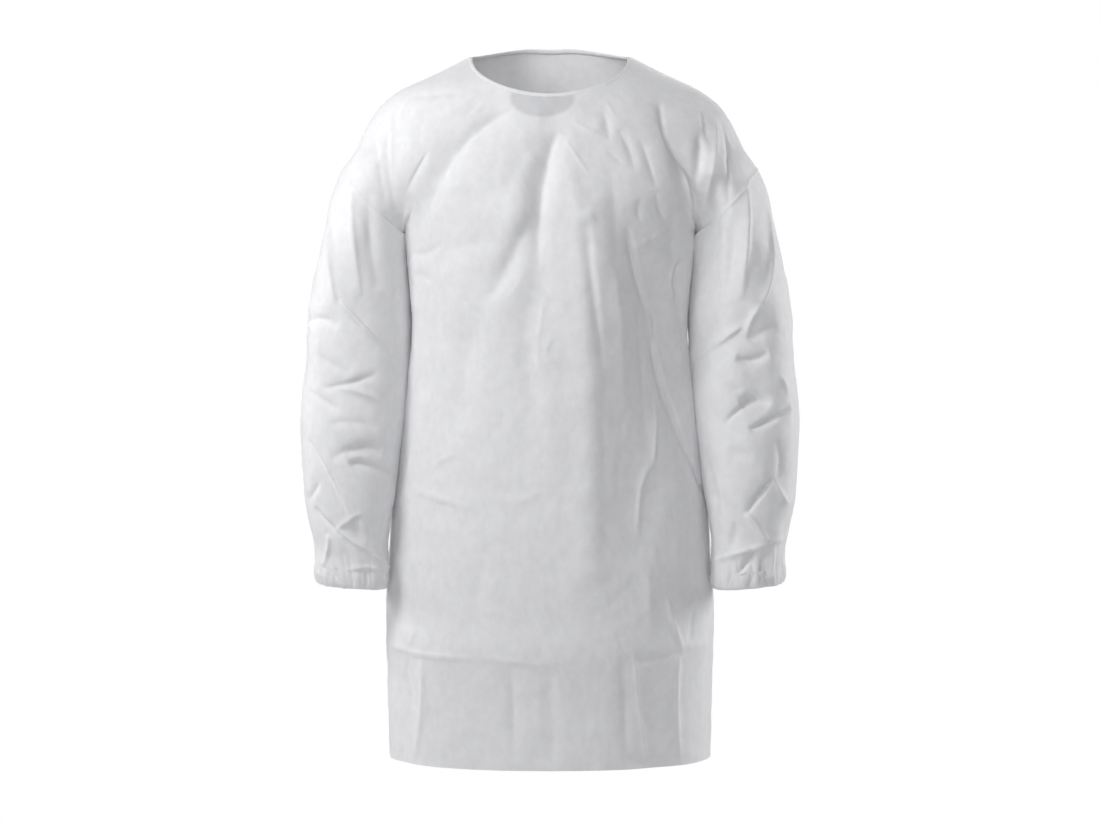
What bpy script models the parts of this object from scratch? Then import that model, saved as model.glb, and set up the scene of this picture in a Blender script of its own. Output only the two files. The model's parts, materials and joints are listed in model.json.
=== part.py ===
"""A long-sleeved disposable gown of thin nonwoven cloth, filled out as if worn, with no wearer.

Metres, +Z up, front towards -Y, the wearer's left towards +X. The origin is the middle of the neck
opening, at the height of its sides, where the gown hangs from the wearer's neck and shoulders.
The cloth is one smooth surface that is cut into pieces along its seams; each piece is a thin wall
whose outer and inner faces lie half a wall either side of that surface. Neck, hem, armholes and
cuffs are open.
"""

from collections import namedtuple
import math

import bmesh
import bpy
import numpy as np

COLLECTION = "disposable_gown"

# The wall stands for cloth 0.2 to 0.3 mm thick with its folds and loft.
WALL = 0.0018
SEAM_HALF_GAP = 0.0002

# How finely the surface is divided.
ARMHOLE_COLUMNS = 14
FRONT_COLUMNS = 28
BACK_COLUMNS = 24
YOKE_ROWS = 9
SKIRT_ROWS = 22
SLEEVE_ROWS = 24

# Neck ring: half width, how far the front drops and how round it is, and the back's reach in plan.
NECK_HALF_WIDTH = 0.104
NECK_DROP = 0.0545
NECK_ROUNDNESS = 1.05
NECK_BACK = 0.080

# Heights of the armhole's top and bottom, of the sleeve's end on its outer and inner side, and of the hem.
ARMHOLE_TOP = -0.142
ARMPIT = -0.230
SLEEVE_END_OUTER = -0.6425
SLEEVE_END_INNER = -0.6500
CHEST_DROP = 0.012
HEM = -0.892

# Trunk of the general figure with the cloth's ease: sections at each height, squarer than an ellipse.
Trunk = namedtuple("Trunk", "height half_width front_depth back_depth")
TRUNK = (
    Trunk(-0.920, 0.205, 0.148, 0.144),
    Trunk(-0.800, 0.2075, 0.147, 0.142),
    Trunk(-0.700, 0.2095, 0.146, 0.138),
    Trunk(-0.600, 0.204, 0.143, 0.131),
    Trunk(-0.500, 0.195, 0.139, 0.124),
    Trunk(-0.400, 0.182, 0.136, 0.119),
    Trunk(-0.340, 0.176, 0.136, 0.120),
    Trunk(-0.290, 0.179, 0.137, 0.123),
    Trunk(-0.250, 0.1835, 0.137, 0.126),
    Trunk(-0.228, 0.186, 0.136, 0.127),
    Trunk(-0.200, 0.205, 0.135, 0.126),
    Trunk(-0.170, 0.228, 0.132, 0.125),
    Trunk(-0.142, 0.247, 0.128, 0.122),
    Trunk(-0.110, 0.243, 0.121, 0.117),
    Trunk(-0.080, 0.230, 0.113, 0.111),
    Trunk(-0.060, 0.215, 0.105, 0.106),
    Trunk(-0.046, 0.200, 0.098, 0.101),
    Trunk(-0.036, 0.180, 0.090, 0.097),
    Trunk(-0.024, 0.152, 0.078, 0.092),
    Trunk(-0.012, 0.128, 0.062, 0.087),
    Trunk(0.000, 0.104, 0.048, 0.083),
    Trunk(0.011, 0.090, 0.036, 0.080),
    Trunk(0.022, 0.080, 0.030, 0.077),
)
TRUNK_SQUARENESS = 2.25

# Arm in its sleeve: how far out its outer and inner sides lie, its middle from front to back, half its depth.
Arm = namedtuple("Arm", "height outer inner middle half_depth")
ARM = (
    Arm(-0.680, 0.2950, 0.2080, -0.054, 0.044),
    Arm(-0.645, 0.2975, 0.2055, -0.053, 0.045),
    Arm(-0.628, 0.2965, 0.2080, -0.052, 0.045),
    Arm(-0.611, 0.2985, 0.2095, -0.051, 0.047),
    Arm(-0.590, 0.3040, 0.2080, -0.049, 0.053),
    Arm(-0.559, 0.3105, 0.2035, -0.046, 0.060),
    Arm(-0.524, 0.3130, 0.1995, -0.042, 0.064),
    Arm(-0.479, 0.3160, 0.1950, -0.036, 0.068),
    Arm(-0.433, 0.3155, 0.1915, -0.030, 0.070),
    Arm(-0.386, 0.3095, 0.1900, -0.023, 0.071),
    Arm(-0.340, 0.3085, 0.1885, -0.017, 0.073),
    Arm(-0.300, 0.3045, 0.1890, -0.012, 0.076),
    Arm(-0.260, 0.2965, 0.1900, -0.008, 0.079),
    Arm(-0.220, 0.2865, 0.1850, -0.004, 0.082),
    Arm(-0.180, 0.2770, 0.1760, -0.002, 0.082),
    Arm(-0.142, 0.2615, 0.1650, 0.000, 0.078),
    Arm(-0.100, 0.2360, 0.1550, 0.000, 0.068),
    Arm(-0.060, 0.2050, 0.1500, 0.000, 0.045),
)
ARM_SQUARENESS = 2.1

# The yoke is laid on the figure round a core this far inside its outline, and its grid is evened out.
CORE_DEPTH = 0.055
OUTLINE_END = -0.240
OUTLINE_POINTS = 81
EVENING_ROUNDS = 4

# The trunk and the arm run into each other over this width above the armpit, and not at all below it.
MERGE_WIDTH = 0.040
MERGE_FROM = -0.236
MERGE_FULL = -0.165
# Above this the shoulder is the trunk's alone.
ARM_FADE_FROM = -0.130
ARM_FADE_FULL = -0.050

# Large folds, as lines in the front view. A trough has a positive depth and a ridge a negative one.
Fold = namedtuple("Fold", "x0 z0 x1 z1 width depth")
FRONT_FOLDS = (
    Fold(0.003, -0.100, -0.015, -0.160, 0.016, 0.005),
    Fold(-0.015, -0.160, -0.014, -0.290, 0.018, 0.006),
    Fold(-0.038, -0.190, -0.086, -0.330, 0.022, -0.006),
    Fold(-0.055, -0.240, -0.118, -0.370, 0.018, 0.005),
    Fold(-0.067, -0.076, -0.130, -0.125, 0.020, 0.005),
    Fold(-0.130, -0.125, -0.163, -0.195, 0.018, 0.006),
    Fold(0.142, -0.058, 0.168, -0.130, 0.018, 0.005),
    Fold(0.168, -0.130, 0.181, -0.200, 0.016, 0.006),
    Fold(0.098, -0.220, 0.133, -0.317, 0.020, 0.007),
    Fold(0.133, -0.317, 0.156, -0.450, 0.018, 0.006),
    Fold(0.156, -0.450, 0.196, -0.545, 0.018, 0.006),
    Fold(0.048, -0.270, 0.045, -0.640, 0.030, -0.007),
    Fold(0.095, -0.360, 0.085, -0.600, 0.030, 0.005),
    Fold(-0.150, -0.440, -0.165, -0.700, 0.030, 0.004),
    Fold(-0.215, -0.747, 0.215, -0.747, 0.016, -0.004),
    Fold(0.118, -0.765, 0.128, -0.885, 0.018, 0.005),
    Fold(-0.178, -0.780, -0.184, -0.885, 0.020, 0.004),
    Fold(-0.205, -0.080, -0.204, -0.160, 0.014, 0.004),
    Fold(0.221, -0.080, 0.196, -0.220, 0.013, -0.004),
    Fold(-0.250, -0.320, -0.190, -0.390, 0.018, 0.007),
    Fold(-0.310, -0.320, -0.290, -0.420, 0.016, -0.003),
    Fold(-0.292, -0.410, -0.212, -0.440, 0.016, 0.005),
    Fold(-0.240, -0.500, -0.212, -0.530, 0.018, 0.005),
    Fold(-0.262, -0.600, -0.212, -0.645, 0.014, -0.005),
    Fold(0.246, -0.330, 0.186, -0.392, 0.018, 0.008),
    Fold(0.255, -0.370, 0.262, -0.440, 0.018, 0.005),
    Fold(0.226, -0.460, 0.262, -0.435, 0.016, 0.005),
    Fold(0.285, -0.535, 0.252, -0.580, 0.014, 0.005),
    Fold(0.252, -0.580, 0.281, -0.617, 0.014, -0.004),
)
BACK_FOLDS = (
    Fold(0.004, -0.030, 0.006, -0.560, 0.026, -0.007),
    Fold(-0.062, -0.130, -0.080, -0.640, 0.028, 0.007),
    Fold(0.070, -0.110, 0.094, -0.600, 0.026, 0.006),
    Fold(-0.125, -0.150, -0.150, -0.700, 0.026, -0.005),
    Fold(0.140, -0.160, 0.162, -0.560, 0.024, -0.006),
    Fold(-0.160, -0.130, -0.184, -0.230, 0.018, 0.006),
    Fold(0.158, -0.120, 0.182, -0.225, 0.018, 0.006),
    Fold(-0.215, -0.747, 0.215, -0.747, 0.016, -0.004),
    Fold(0.030, -0.760, 0.036, -0.885, 0.024, 0.005),
    Fold(-0.110, -0.770, -0.114, -0.885, 0.022, 0.004),
    Fold(-0.255, -0.330, -0.192, -0.380, 0.018, 0.006),
    Fold(-0.296, -0.430, -0.215, -0.470, 0.018, 0.005),
    Fold(-0.285, -0.560, -0.225, -0.600, 0.016, 0.005),
    Fold(0.252, -0.345, 0.192, -0.400, 0.018, 0.007),
    Fold(0.300, -0.450, 0.220, -0.480, 0.018, 0.005),
    Fold(0.290, -0.550, 0.230, -0.610, 0.016, 0.005),
)

# The elastic gathers the sleeve's end: one wave for every two columns, this far in and out.
GATHER_DEPTH = 0.0016
GATHER_ROWS = 4

# Elastic casing at the wrist: each point's distance out from the sleeve's end, and down from it.
Profile = namedtuple("Profile", "out down")
CUFF_PROFILE = (
    Profile(0.0010, 0.0004),
    Profile(0.0024, 0.0075),
    Profile(0.0014, 0.0160),
    Profile(-0.0016, 0.0222),
    Profile(-0.0040, 0.0222),
    Profile(-0.0014, 0.0120),
    Profile(-0.0010, 0.0004),
)

# Neck binding: each point's distance out from the cloth, and up from its edge.
BINDING_PROFILE = (
    Profile(0.0012, -0.0004),
    Profile(0.0016, -0.0034),
    Profile(0.0010, -0.0064),
    Profile(-0.0010, -0.0064),
    Profile(-0.0016, -0.0034),
    Profile(-0.0012, -0.0004),
)
BINDING_LIFT = 0.35

Finish = namedtuple("Finish", "colour roughness")
CLOTH = Finish((0.86, 0.86, 0.875), 0.62)
BINDING = Finish((0.90, 0.90, 0.91), 0.58)
ELASTIC_CASING = Finish((0.83, 0.83, 0.845), 0.64)


def clear_scene():
    for item in list(bpy.data.objects):
        bpy.data.objects.remove(item)


def column(table, name, heights):
    """One column of a table of sections, read at any heights as a smooth curve through its rows."""
    knots = np.array([row.height for row in table])
    values = np.array([getattr(row, name) for row in table])
    slopes = np.gradient(values, knots)
    at = np.clip(heights, knots[0], knots[-1])
    low = np.clip(np.searchsorted(knots, at) - 1, 0, len(knots) - 2)
    span = knots[low + 1] - knots[low]
    t = (at - knots[low]) / span
    start = (2 * t**3 - 3 * t**2 + 1) * values[low] + (t**3 - 2 * t**2 + t) * span * slopes[low]
    end = (3 * t**2 - 2 * t**3) * values[low + 1] + (t**3 - t**2) * span * slopes[low + 1]
    return start + end


def ramp(value, start, end):
    """0 before start, 1 after end, and smooth between."""
    t = np.clip((value - start) / (end - start), 0, 1)
    return t * t * (3 - 2 * t)


def outside_section(x, y, half_width, half_depth, squareness):
    """Level distance from a point to a section's edge, negative inside it."""
    reach = np.hypot(x, y)
    powers = (np.abs(x) / half_width) ** squareness + (np.abs(y) / half_depth) ** squareness
    return reach - reach / np.maximum(powers ** (1 / squareness), 1e-6)


def outside_trunk(points):
    x, y, z = points.T
    depth = np.where(y < 0, column(TRUNK, "front_depth", z), column(TRUNK, "back_depth", z))
    return outside_section(x, y, column(TRUNK, "half_width", z), depth, TRUNK_SQUARENESS)


def outside_arm(points):
    x, y, z = points.T
    outer = column(ARM, "outer", z)
    inner = column(ARM, "inner", z)
    across = np.abs(x) - (outer + inner) / 2
    along = y - column(ARM, "middle", z)
    return outside_section(across, along, (outer - inner) / 2, column(ARM, "half_depth", z), ARM_SQUARENESS)


def outside_figure(points):
    """Distance outside the trunk and arms together, which run into each other above the armpit."""
    trunk = outside_trunk(points)
    arm = outside_arm(points) + ramp(points[:, 2], ARM_FADE_FROM, ARM_FADE_FULL)
    width = MERGE_WIDTH * ramp(points[:, 2], MERGE_FROM, MERGE_FULL) + 1e-4
    share = np.clip(0.5 + 0.5 * (trunk - arm) / width, 0, 1)
    return trunk + (arm - trunk) * share - width * share * (1 - share)


def cast(origins, through):
    """Where the line from each origin through each point first leaves the figure."""
    step, reach = 0.004, 0.36
    directions = through - origins
    directions = directions / np.linalg.norm(directions, axis=1)[:, None]
    distances = np.arange(step, reach, step)
    samples = origins[:, None, :] + directions[:, None, :] * distances[None, :, None]
    outside = outside_figure(samples.reshape(-1, 3)).reshape(len(origins), -1) > 0
    high = distances[np.argmax(outside, axis=1)]
    low = high - step
    for _ in range(20):
        middle = (low + high) / 2
        inside = outside_figure(origins + directions * middle[:, None]) < 0
        low = np.where(inside, middle, low)
        high = np.where(inside, high, middle)
    return origins + directions * middle[:, None]


def shoulder_outline():
    """Front view's outline from the neck down the outside of the arm, and its normals that point inward."""
    z = OUTLINE_END * np.linspace(0, 1, OUTLINE_POINTS) ** 1.5
    x = np.where(z > ARM_FADE_FROM, column(TRUNK, "half_width", z), column(ARM, "outer", z))
    along = np.stack([np.gradient(x), np.gradient(z)], axis=1)
    along /= np.linalg.norm(along, axis=1)[:, None]
    return np.stack([x, z], axis=1), np.stack([along[:, 1], -along[:, 0]], axis=1)


def laid(grid):
    """Moves a grid's points onto the figure: straight out or, near the outline, round a core inside it."""
    points = grid.reshape(-1, 3)
    outline, inward = shoulder_outline()
    flat = np.stack([np.abs(points[:, 0]), points[:, 2]], axis=1)
    nearest = np.argmin(np.linalg.norm(flat[:, None] - outline, axis=2), axis=1)
    depth = ((flat - outline[nearest]) * inward[nearest]).sum(axis=1)
    core = flat + inward[nearest] * np.maximum(CORE_DEPTH - depth, 0)[:, None]
    side = np.where(points[:, 0] < 0, -1, 1)
    origins = np.stack([core[:, 0] * side, np.zeros(len(points)), core[:, 1]], axis=1)
    return cast(origins, points).reshape(grid.shape)


def evenly(points, count):
    """A line of points resampled to count equal steps along it."""
    steps = np.linalg.norm(np.diff(points, axis=0), axis=1)
    travelled = np.concatenate([[0], np.cumsum(steps)])
    wanted = np.linspace(0, travelled[-1], count + 1)
    return np.stack([np.interp(wanted, travelled, points[:, axis]) for axis in range(3)], axis=1)


def front_neck_line(count):
    """Front half of the neck ring, from the -X side to the +X side: a rounded drop laid on the figure."""
    turn = np.linspace(-math.pi / 2, math.pi / 2, 181)
    x = NECK_HALF_WIDTH * np.sin(turn)
    z = -NECK_DROP * np.maximum(np.cos(turn), 0) ** NECK_ROUNDNESS
    across = np.abs(x) / column(TRUNK, "half_width", z)
    share = np.maximum(1 - across**TRUNK_SQUARENESS, 0) ** (1 / TRUNK_SQUARENESS)
    y = -column(TRUNK, "front_depth", z) * share
    z[[0, -1]] = 0.0
    y[[0, -1]] = 0.0
    return evenly(np.stack([x, y, z], axis=1), count)


def back_neck_line(count):
    """Back half of the neck ring, from the -X side to the +X side: an arc in plan, laid on the figure."""
    turn = np.linspace(-math.pi / 2, math.pi / 2, 181)
    x = NECK_HALF_WIDTH * np.sin(turn)
    y = NECK_BACK * np.cos(turn)
    low = np.full(len(turn), -0.12)
    high = np.full(len(turn), 0.022)
    for _ in range(30):
        middle = (low + high) / 2
        inside = outside_trunk(np.stack([x, y, middle], axis=1)) < 0
        low = np.where(inside, middle, low)
        high = np.where(inside, high, middle)
    z = (low + high) / 2
    z[[0, -1]] = 0.0
    y[[0, -1]] = 0.0
    return evenly(np.stack([x, y, z], axis=1), count)


def sleeve_ring(share, side):
    """Ring of the sleeve, from its outer side round by the front. share: the armhole is 0, the wrist 1."""
    turn = np.linspace(0, 2 * math.pi, 2 * ARMHOLE_COLUMNS, endpoint=False)
    outer_height = ARMHOLE_TOP + (SLEEVE_END_OUTER - ARMHOLE_TOP) * share
    inner_height = ARMPIT + (SLEEVE_END_INNER - ARMPIT) * share
    z = (outer_height + inner_height) / 2 + (outer_height - inner_height) / 2 * np.cos(turn)
    outer = column(ARM, "outer", z)
    inner = column(ARM, "inner", z)
    power = 2 / ARM_SQUARENESS
    across = np.sign(np.cos(turn)) * np.abs(np.cos(turn)) ** power
    along = np.sign(np.sin(turn)) * np.abs(np.sin(turn)) ** power
    x = (outer + inner) / 2 + (outer - inner) / 2 * across
    y = column(ARM, "middle", z) - column(ARM, "half_depth", z) * along
    return np.stack([side * x, y, z], axis=1)


def armhole(side):
    """The seam ring round the top of the arm, laid on the figure but for its lowest part in the armpit."""
    ring = sleeve_ring(0, side)
    middle = (ring[0] + ring[ARMHOLE_COLUMNS]) / 2
    seam = cast(np.repeat(middle[None], len(ring), axis=0), ring)
    turn = np.linspace(0, 2 * math.pi, len(ring), endpoint=False)
    in_armpit = ramp(-np.cos(turn), 0.55, 0.97)[:, None]
    return seam + (ring - seam) * in_armpit


def shoulder_line(side, top):
    """Shoulder seam from the side of the neck to the top of the armhole."""
    share = np.linspace(0, 1, 61)[:, None]
    start = np.array([side * NECK_HALF_WIDTH, 0.0, 0.0])
    guess = start + (top - start) * share
    guess[:, 2] += 0.02 * np.sin(math.pi * share[:, 0])
    core = guess * (0.55, 0, 1) - (0, 0, 0.05)
    line = cast(core, guess)
    line[0], line[-1] = start, top
    return evenly(line, YOKE_ROWS)


def girth_turns(count):
    """Turns round half of a section, from -X to +X, that step evenly along the cloth."""
    turn = np.linspace(-math.pi / 2, math.pi / 2, 361)
    half = np.stack([half_section_x(turn) * 0.195, half_section_y(turn) * 0.138, np.zeros(len(turn))], axis=1)
    steps = np.linalg.norm(np.diff(half, axis=0), axis=1)
    travelled = np.concatenate([[0], np.cumsum(steps)])
    return np.interp(np.linspace(0, travelled[-1], count + 1), travelled, turn)


def half_section_x(turn):
    return np.sign(np.sin(turn)) * np.abs(np.sin(turn)) ** (2 / TRUNK_SQUARENESS)


def half_section_y(turn):
    return np.abs(np.cos(turn)) ** (2 / TRUNK_SQUARENESS)


def girth_line(front, share, count):
    """Half of the trunk's section, from -X to +X. share runs from the chest line, 0, to the hem, 1."""
    turn = girth_turns(count)
    chest = ARMPIT - CHEST_DROP * np.cos(turn)
    z = chest + (HEM - chest) * share
    depth_name = "front_depth" if front else "back_depth"
    depth = column(TRUNK, depth_name, z) * (-1 if front else 1)
    x = column(TRUNK, "half_width", z) * half_section_x(turn)
    return np.stack([x, depth * half_section_y(turn), z], axis=1)


def yoke_grid(neck, outer, first_seam, last_seam):
    """Upper part of a panel: lines from the neck out to the armholes and the chest, laid on the figure."""
    rows, columns = len(first_seam) - 1, len(neck) - 1
    t = np.linspace(0, 1, rows + 1)[:, None, None]
    s = np.linspace(0, 1, columns + 1)[None, :, None]
    between_lines = (1 - t) * neck[None] + t * outer[None]
    between_seams = (1 - s) * first_seam[:, None] + s * last_seam[:, None]
    corners = (1 - t) * ((1 - s) * neck[0] + s * neck[-1]) + t * ((1 - s) * outer[0] + s * outer[-1])
    grid = between_lines + between_seams - corners
    for _ in range(EVENING_ROUNDS):
        grid[1:-1, 1:-1] = laid(grid)[1:-1, 1:-1]
        beside = grid[:-2, 1:-1] + grid[2:, 1:-1] + grid[1:-1, :-2] + grid[1:-1, 2:]
        grid[1:-1, 1:-1] = beside / 4
    grid[1:-1, 1:-1] = laid(grid)[1:-1, 1:-1]
    return grid


def panel_grids(front):
    """Yoke and skirt grids of the front or the back, with columns that run round the body the same way."""
    count = FRONT_COLUMNS if front else BACK_COLUMNS
    half = ARMHOLE_COLUMNS
    ring = {side: armhole(side) for side in (-1, 1)}
    arcs = {}
    for side, loop in ring.items():
        onward = loop if front else np.roll(loop[::-1], 1, axis=0)
        arcs[side] = onward[: half + 1]
    chest = girth_line(front, 0, count)
    chest[0], chest[-1] = arcs[-1][-1], arcs[1][-1]
    outer = np.concatenate([arcs[-1], chest[1:-1], arcs[1][::-1]])
    seams = [shoulder_line(side, ring[side][0]) for side in (-1, 1)]
    neck = (front_neck_line if front else back_neck_line)(len(outer) - 1)
    yoke = yoke_grid(neck, outer, *seams)
    lines = [girth_line(front, row / SKIRT_ROWS, count) for row in range(1, SKIRT_ROWS + 1)]
    skirt = np.stack([chest] + lines)
    return [yoke, skirt] if front else [yoke[:, ::-1], skirt[:, ::-1]]


def sleeve_grid(side):
    """Rings from the armhole to the wrist; the first ones ease from the seam's shape to the arm's."""
    seam = armhole(side)
    drift = seam - sleeve_ring(0, side)
    rings = []
    for row in range(SLEEVE_ROWS + 1):
        share = row / SLEEVE_ROWS
        rings.append(sleeve_ring(share, side) + drift * (1 - ramp(share, 0, 0.2)))
    grid = np.stack(rings)
    grid = np.concatenate([grid, grid[:, :1]], axis=1)
    return grid[:, ::-1] if side > 0 else grid


def joined(grids):
    """One list of points and one of four-sided faces for grids that share their edges."""
    index, points, faces = {}, [], []
    for grid in grids:
        numbers = np.empty(grid.shape[:2], int)
        for place in np.ndindex(*grid.shape[:2]):
            key = tuple(np.round(grid[place], 6))
            if key not in index:
                index[key] = len(points)
                points.append(grid[place])
            numbers[place] = index[key]
        for row, col in np.ndindex(grid.shape[0] - 1, grid.shape[1] - 1):
            near, far = numbers[row, col : col + 2], numbers[row + 1, col : col + 2]
            faces.append((near[0], far[0], far[1], near[1]))
    return np.array(points), np.array(faces)


def shared_normals(pieces, places):
    """Outward normals at each piece's points, the same on both sides of a seam. Wide corners count more."""
    total = {}
    for points, faces in pieces.values():
        corners = points[faces]
        across = np.cross(corners[:, 2] - corners[:, 0], corners[:, 3] - corners[:, 1])
        across /= np.maximum(np.linalg.norm(across, axis=1)[:, None], 1e-12)
        onward = np.roll(corners, -1, axis=1) - corners
        onward /= np.linalg.norm(onward, axis=2)[:, :, None]
        turns = (onward * np.roll(onward, 1, axis=1)).sum(axis=2)
        angles = math.pi - np.arccos(np.clip(turns, -1, 1))
        keys = places[id(faces)]
        for face, normal, weights in zip(faces, across, angles):
            for corner, weight in zip(face, weights):
                total[keys[corner]] = total.get(keys[corner], 0) + normal * weight
    result = {}
    for name, (points, faces) in pieces.items():
        normals = np.array([total[key] for key in places[id(faces)]])
        result[name] = normals / np.linalg.norm(normals, axis=1)[:, None]
    return result


def fold_depth(points, facing, folds):
    """How far the folds on one face of the gown push each point in."""
    depth = np.zeros(len(points))
    flat = points[:, [0, 2]]
    for fold in folds:
        start = np.array([fold.x0, fold.z0])
        run = np.array([fold.x1, fold.z1]) - start
        length = np.linalg.norm(run)
        along = (flat - start) @ run / length
        nearest = start + np.outer(np.clip(along, 0, length), run / length)
        away = np.linalg.norm(flat - nearest, axis=1)
        depth += fold.depth * np.exp(-((away / fold.width) ** 2))
    return depth * ramp(facing, 0.1, 0.6)


def gather_offset(row_share, count):
    """In and out of the columns of a gathered ring."""
    return GATHER_DEPTH * row_share * np.where(np.arange(count) % 2 == 0, 1.0, -1.0)


def inward_steps(points, faces, normals):
    """The direction in the cloth that leads away from the border, at each of its points, and its edges."""
    edges = {}
    for face in faces:
        for a, b in zip(face, np.roll(face, -1)):
            edges.setdefault((min(a, b), max(a, b)), []).append((a, b))
    border = [uses[0] for uses in edges.values() if len(uses) == 1]
    on_border = {corner for edge in border for corner in edge}
    steps = np.zeros_like(points)
    for face in faces:
        middle = points[face].mean(axis=0)
        for corner in face:
            if corner in on_border:
                steps[corner] += middle - points[corner]
    along = np.zeros_like(points)
    for a, b in border:
        direction = (points[b] - points[a]) / np.linalg.norm(points[b] - points[a])
        along[a] += direction
        along[b] += direction
    long = np.linalg.norm(along, axis=1)[:, None]
    along = np.where(long > 0.5, along / np.maximum(long, 1e-9), 0)
    for across in (normals, along):
        steps -= across * (steps * across).sum(axis=1)[:, None]
    length = np.linalg.norm(steps, axis=1)[:, None]
    return steps / np.where(length > 0, length, 1), border


def add_object(name, points, faces, finish, collection):
    mesh = bpy.data.meshes.new(name)
    mesh.from_pydata(points.tolist(), [], [tuple(int(i) for i in face) for face in faces])
    work = bmesh.new()
    work.from_mesh(mesh)
    bmesh.ops.recalc_face_normals(work, faces=work.faces)
    work.to_mesh(mesh)
    work.free()
    mesh.shade_smooth()
    item = bpy.data.objects.new(name, mesh)
    collection.objects.link(item)
    material = bpy.data.materials.new(name)
    material.use_nodes = True
    shader = material.node_tree.nodes["Principled BSDF"]
    shader.inputs["Base Color"].default_value = (*finish.colour, 1)
    shader.inputs["Roughness"].default_value = finish.roughness
    shader.inputs["Metallic"].default_value = 0
    mesh.materials.append(material)
    return item


def wall(name, points, faces, normals, collection):
    """A closed wall round a piece of the cloth's surface, drawn back a little from its seams."""
    steps, border = inward_steps(points, faces, normals)
    drawn = points + steps * SEAM_HALF_GAP
    outer = drawn + normals * WALL / 2
    inner = drawn - normals * WALL / 2
    count = len(points)
    rims = []
    for a, b in border:
        # Both pieces at a seam split their rims along the same diagonal.
        if tuple(np.round(points[a], 5)) < tuple(np.round(points[b], 5)):
            rims += [(b, a, b + count), (a, a + count, b + count)]
        else:
            rims += [(b, a, a + count), (b, a + count, b + count)]
    all_faces = list(faces) + [face[::-1] + count for face in faces] + rims
    add_object(name, np.concatenate([outer, inner]), all_faces, CLOTH, collection)


def ring_solid(name, sections, finish, collection):
    """A closed ring through sections that each have the same number of points."""
    count, size = sections.shape[:2]
    faces = []
    for i, k in np.ndindex(count, size):
        after, above = (i + 1) % count, (k + 1) % size
        faces.append((i * size + k, after * size + k, after * size + above, i * size + above))
    add_object(name, sections.reshape(-1, 3), faces, finish, collection)


def cuff(side, wrist, collection):
    """Elastic casing under the sleeve's end, gathered in the same waves."""
    middle = wrist.mean(axis=0)
    outward = (wrist - middle) * (1, 1, 0)
    outward /= np.linalg.norm(outward, axis=1)[:, None]
    sections = [wrist + outward * point.out + np.array([0, 0, -point.down]) for point in CUFF_PROFILE]
    name = "cuff_left" if side > 0 else "cuff_right"
    ring_solid(name, np.stack(sections, axis=1), ELASTIC_CASING, collection)


def neck_binding(edge, below, normals, collection):
    """Folded strip that stands on the neck edge of the front and the back."""
    up = edge - below
    up /= np.linalg.norm(up, axis=1)[:, None]
    up[:, 2] += BINDING_LIFT
    up -= normals * (up * normals).sum(axis=1)[:, None]
    up /= np.linalg.norm(up, axis=1)[:, None]
    sections = [edge + normals * point.out - up * point.down for point in BINDING_PROFILE]
    ring_solid("neck_binding", np.stack(sections, axis=1), BINDING, collection)


def main():
    clear_scene()
    collection = bpy.data.collections.new(COLLECTION)
    bpy.context.scene.collection.children.link(collection)

    grids = {
        "front": panel_grids(True),
        "back": panel_grids(False),
        "sleeve_left": [sleeve_grid(1)],
        "sleeve_right": [sleeve_grid(-1)],
    }
    pieces = {name: joined(parts) for name, parts in grids.items()}
    places = {id(faces): [tuple(np.round(point, 6)) for point in points] for points, faces in pieces.values()}

    normals = shared_normals(pieces, places)
    for name, (points, faces) in pieces.items():
        normal = normals[name]
        depth = fold_depth(points, -normal[:, 1], FRONT_FOLDS) + fold_depth(points, normal[:, 1], BACK_FOLDS)
        near_neck = ramp(np.linalg.norm(points - (0, 0, -0.02), axis=1), 0.10, 0.15)
        points -= normal * (depth * near_neck)[:, None]

    wrists = {}
    for side, name in ((1, "sleeve_left"), (-1, "sleeve_right")):
        points, _ = pieces[name]
        count = 2 * ARMHOLE_COLUMNS
        for back in range(GATHER_ROWS + 1):
            row = slice((SLEEVE_ROWS - back) * count, (SLEEVE_ROWS - back + 1) * count)
            offset = gather_offset(1 - back / GATHER_ROWS, count)
            points[row] += normals[name][row] * (1, 1, 0) * offset[:, None]
        wrists[side] = points[SLEEVE_ROWS * count :].copy()

    normals = shared_normals(pieces, places)
    for name, (points, faces) in pieces.items():
        wall(name, points, faces, normals[name], collection)
    for side, wrist in wrists.items():
        cuff(side, wrist, collection)

    edge, below, facing = [], [], []
    for name, count in (("front", FRONT_COLUMNS), ("back", BACK_COLUMNS)):
        columns = count + 2 * ARMHOLE_COLUMNS
        points, _ = pieces[name]
        edge.append(points[0:columns:2])
        below.append(points[columns + 1 : 2 * columns + 1 : 2])
        facing.append(normals[name][0:columns:2])
    neck_binding(np.concatenate(edge), np.concatenate(below), np.concatenate(facing), collection)


main()
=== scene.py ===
"""A long-sleeved disposable gown of white spunbonded cloth, filled out as if worn, with no wearer."""

from collections import namedtuple
import json
import math
import random

import bmesh
import bpy
from mathutils import Matrix, Vector, kdtree, noise
from mathutils.bvhtree import BVHTree
import numpy as np

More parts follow.
